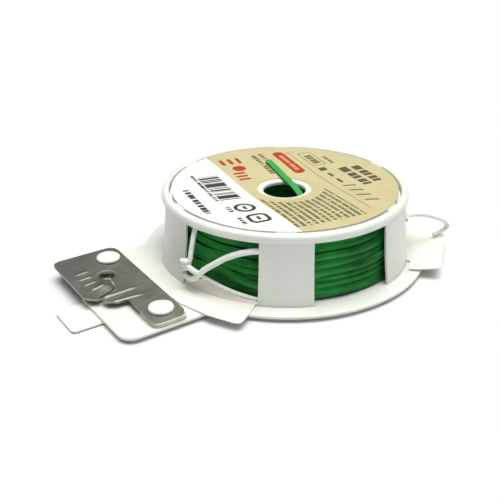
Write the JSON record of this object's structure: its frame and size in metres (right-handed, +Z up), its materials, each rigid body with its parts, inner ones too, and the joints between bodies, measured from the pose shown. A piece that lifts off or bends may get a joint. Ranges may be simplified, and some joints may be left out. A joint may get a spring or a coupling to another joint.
{
  "type": "garden tie wire spool with cutter",
  "caption": "Round cage holding a loose coil of plastic-covered flat tie wire, on a flat base with a wide tab that carries a stamped steel cutter.",
  "frame": {"origin": "where the spool's axis meets the surface the base rests on", "axes": "+Z up along the spool's axis, -X along the tab that carries the cutter"},
  "size_m": [0.1424, 0.1095, 0.0276],
  "materials": {
    "case_plastic": "moulded white plastic, satin",
    "thin_sheet": "thin flexible off-white sheet",
    "clear_pad": "clear pad with an amber edge",
    "green_vinyl": "green vinyl coating with a raised core line",
    "label_paper": "printed coated paper",
    "cutter_steel": "stamped sheet steel, satin",
    "elastic_cord": "round braided elastic cord"
  },
  "bodies": {
    "case": {"base_plate": "case_plastic", "cage": "case_plastic", "top_disc": "case_plastic", "paper_label": "label_paper", "cutter_plate": "cutter_steel", "spacer_far": "clear_pad", "spacer_near": "clear_pad", "rivet_far": "case_plastic", "rivet_near": "case_plastic", "retainer_sheet": "thin_sheet", "elastic_cord": "elastic_cord"},
    "coil": {"wire_coil": "green_vinyl", "wire_end": "green_vinyl"},
    "loop": {"cord_loop": "elastic_cord"},
    "strap": {"belt_strap": "thin_sheet"}
  },
  "joints": [
    {"name": "coil_turn", "type": "hinge", "parent": "case", "child": "coil", "pos_m": [0, 0, 0], "axis": [0, 0, 1], "continuous": true},
    {"name": "loop_swing", "type": "hinge", "parent": "case", "child": "loop", "pos_m": [0.0364, -0.0279, 0.0149], "axis": [-0.4699, -0.8827, 0], "range_deg": [0, 60]},
    {"name": "strap_slide", "type": "slide", "parent": "case", "child": "strap", "axis": [-1, 0, 0], "range_m": [-0.006, 0.012]}
  ]
}
